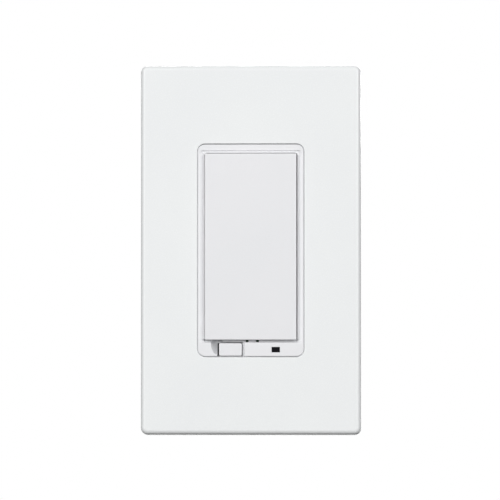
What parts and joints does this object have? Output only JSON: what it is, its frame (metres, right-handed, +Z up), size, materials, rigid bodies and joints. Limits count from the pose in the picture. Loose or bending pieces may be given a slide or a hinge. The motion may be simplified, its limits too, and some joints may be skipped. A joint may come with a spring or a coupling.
{
  "type": "dimmer switch",
  "caption": "White paddle dimmer switch in a screwless single-gang wall plate, with a rocking paddle, a pull-out air-gap tab, a small indicator window, and a metal strap and housing behind it.",
  "frame": {"origin": "the point on the wall plane behind the centre of the plate's opening, where the device box takes the switch", "axes": "+X to the right as seen from the room, +Y into the wall, +Z up; the front faces -Y"},
  "size_m": [0.069, 0.0387, 0.1158],
  "materials": {
    "plate_white": "smooth white thermoplastic with a soft gloss",
    "device_white": "white thermoplastic, satin",
    "frame_white": "white moulded plastic, matte, hidden behind the plate",
    "smoked_plastic": "dark smoked light pipe, polished",
    "clear_plastic": "clear resin",
    "black_plastic": "black moulded resin",
    "housing_plastic": "black flame-retardant moulding, fine spark texture",
    "sand_plastic": "sand-coloured plastic",
    "yellow_plastic": "yellow capacitor case",
    "blue_sleeve": "shrink sleeve",
    "blue_coating": "dipped epoxy coating",
    "grey_film": "thin insulating film",
    "circuit_board": "green solder mask on glass-epoxy board",
    "fibre": "pressed fibre washer",
    "ferrite": "coated powdered-iron ring",
    "strap_aluminium": "stamped and brushed aluminium",
    "zinc_steel": "bright zinc plating",
    "tinned_steel": "tinned sheet steel",
    "spring_steel": "drawn spring wire",
    "green_steel": "green-dyed ground screw",
    "brass": "plain brass",
    "copper": "copper"
  },
  "bodies": {
    "device": {"wall_plate": "plate_white", "sub_plate": "frame_white", "sub_plate_screw_upper": "zinc_steel", "sub_plate_screw_lower": "zinc_steel", "strap": "strap_aluminium", "box_screw_upper": "zinc_steel", "box_screw_lower": "zinc_steel", "screw_keeper_upper": "fibre", "screw_keeper_lower": "fibre", "bezel": "device_white", "upper_spring": "spring_steel", "lower_spring": "spring_steel", "air_gap_contact_left": "brass", "air_gap_contact_right": "brass", "indicator_lens": "smoked_plastic", "status_led": "clear_plastic", "front_board": "circuit_board", "upper_switch": "black_plastic", "lower_switch": "black_plastic", "microcontroller": "black_plastic", "radio_board": "circuit_board", "radio_shield": "tinned_steel", "board_header": "black_plastic", "power_board": "circuit_board", "triac": "black_plastic", "triac_insulator": "grey_film", "triac_rivet": "strap_aluminium", "choke_core": "ferrite", "choke_winding": "copper", "film_capacitor": "yellow_plastic", "filter_capacitor": "blue_sleeve", "supply_module": "black_plastic", "surge_absorber": "blue_coating", "fuse": "sand_plastic", "housing": "housing_plastic", "housing_screw_upper_left": "zinc_steel", "housing_screw_upper_right": "zinc_steel", "housing_screw_lower_left": "zinc_steel", "housing_screw_lower_right": "zinc_steel", "line_terminal": "brass", "line_clamp": "tinned_steel", "line_screw": "brass", "load_terminal": "brass", "load_clamp": "tinned_steel", "load_screw": "brass", "ground_terminal": "brass", "ground_clamp": "tinned_steel", "ground_screw": "green_steel", "neutral_terminal": "brass", "neutral_clamp": "tinned_steel", "neutral_screw": "zinc_steel", "traveler_terminal": "brass", "traveler_clamp": "tinned_steel", "traveler_screw": "zinc_steel"},
    "paddle": {"paddle": "device_white"},
    "upper_button": {"upper_button": "sand_plastic"},
    "lower_button": {"lower_button": "sand_plastic"},
    "air_gap_slider": {"air_gap_tab": "device_white", "air_gap_bridge": "copper"}
  },
  "joints": [
    {"name": "paddle_rock", "type": "hinge", "parent": "device", "child": "paddle", "pos_m": [0, -0.0048, 0.00115], "axis": [1, 0, 0], "range_deg": [-1.5, 1.5], "stiffness_Nm_per_rad": 0.3, "deforming": ["upper_spring", "lower_spring"]},
    {"name": "upper_button_press", "type": "slide", "parent": "device", "child": "upper_button", "axis": [0, 1, 0], "range_m": [0, 0.00025], "stiffness_N_per_m": 1000, "springref_m": -0.001},
    {"name": "lower_button_press", "type": "slide", "parent": "device", "child": "lower_button", "axis": [0, 1, 0], "range_m": [0, 0.00025], "stiffness_N_per_m": 1000, "springref_m": -0.001},
    {"name": "air_gap_pull", "type": "slide", "parent": "device", "child": "air_gap_slider", "axis": [0, -1, 0], "range_m": [0, 0.003]}
  ]
}
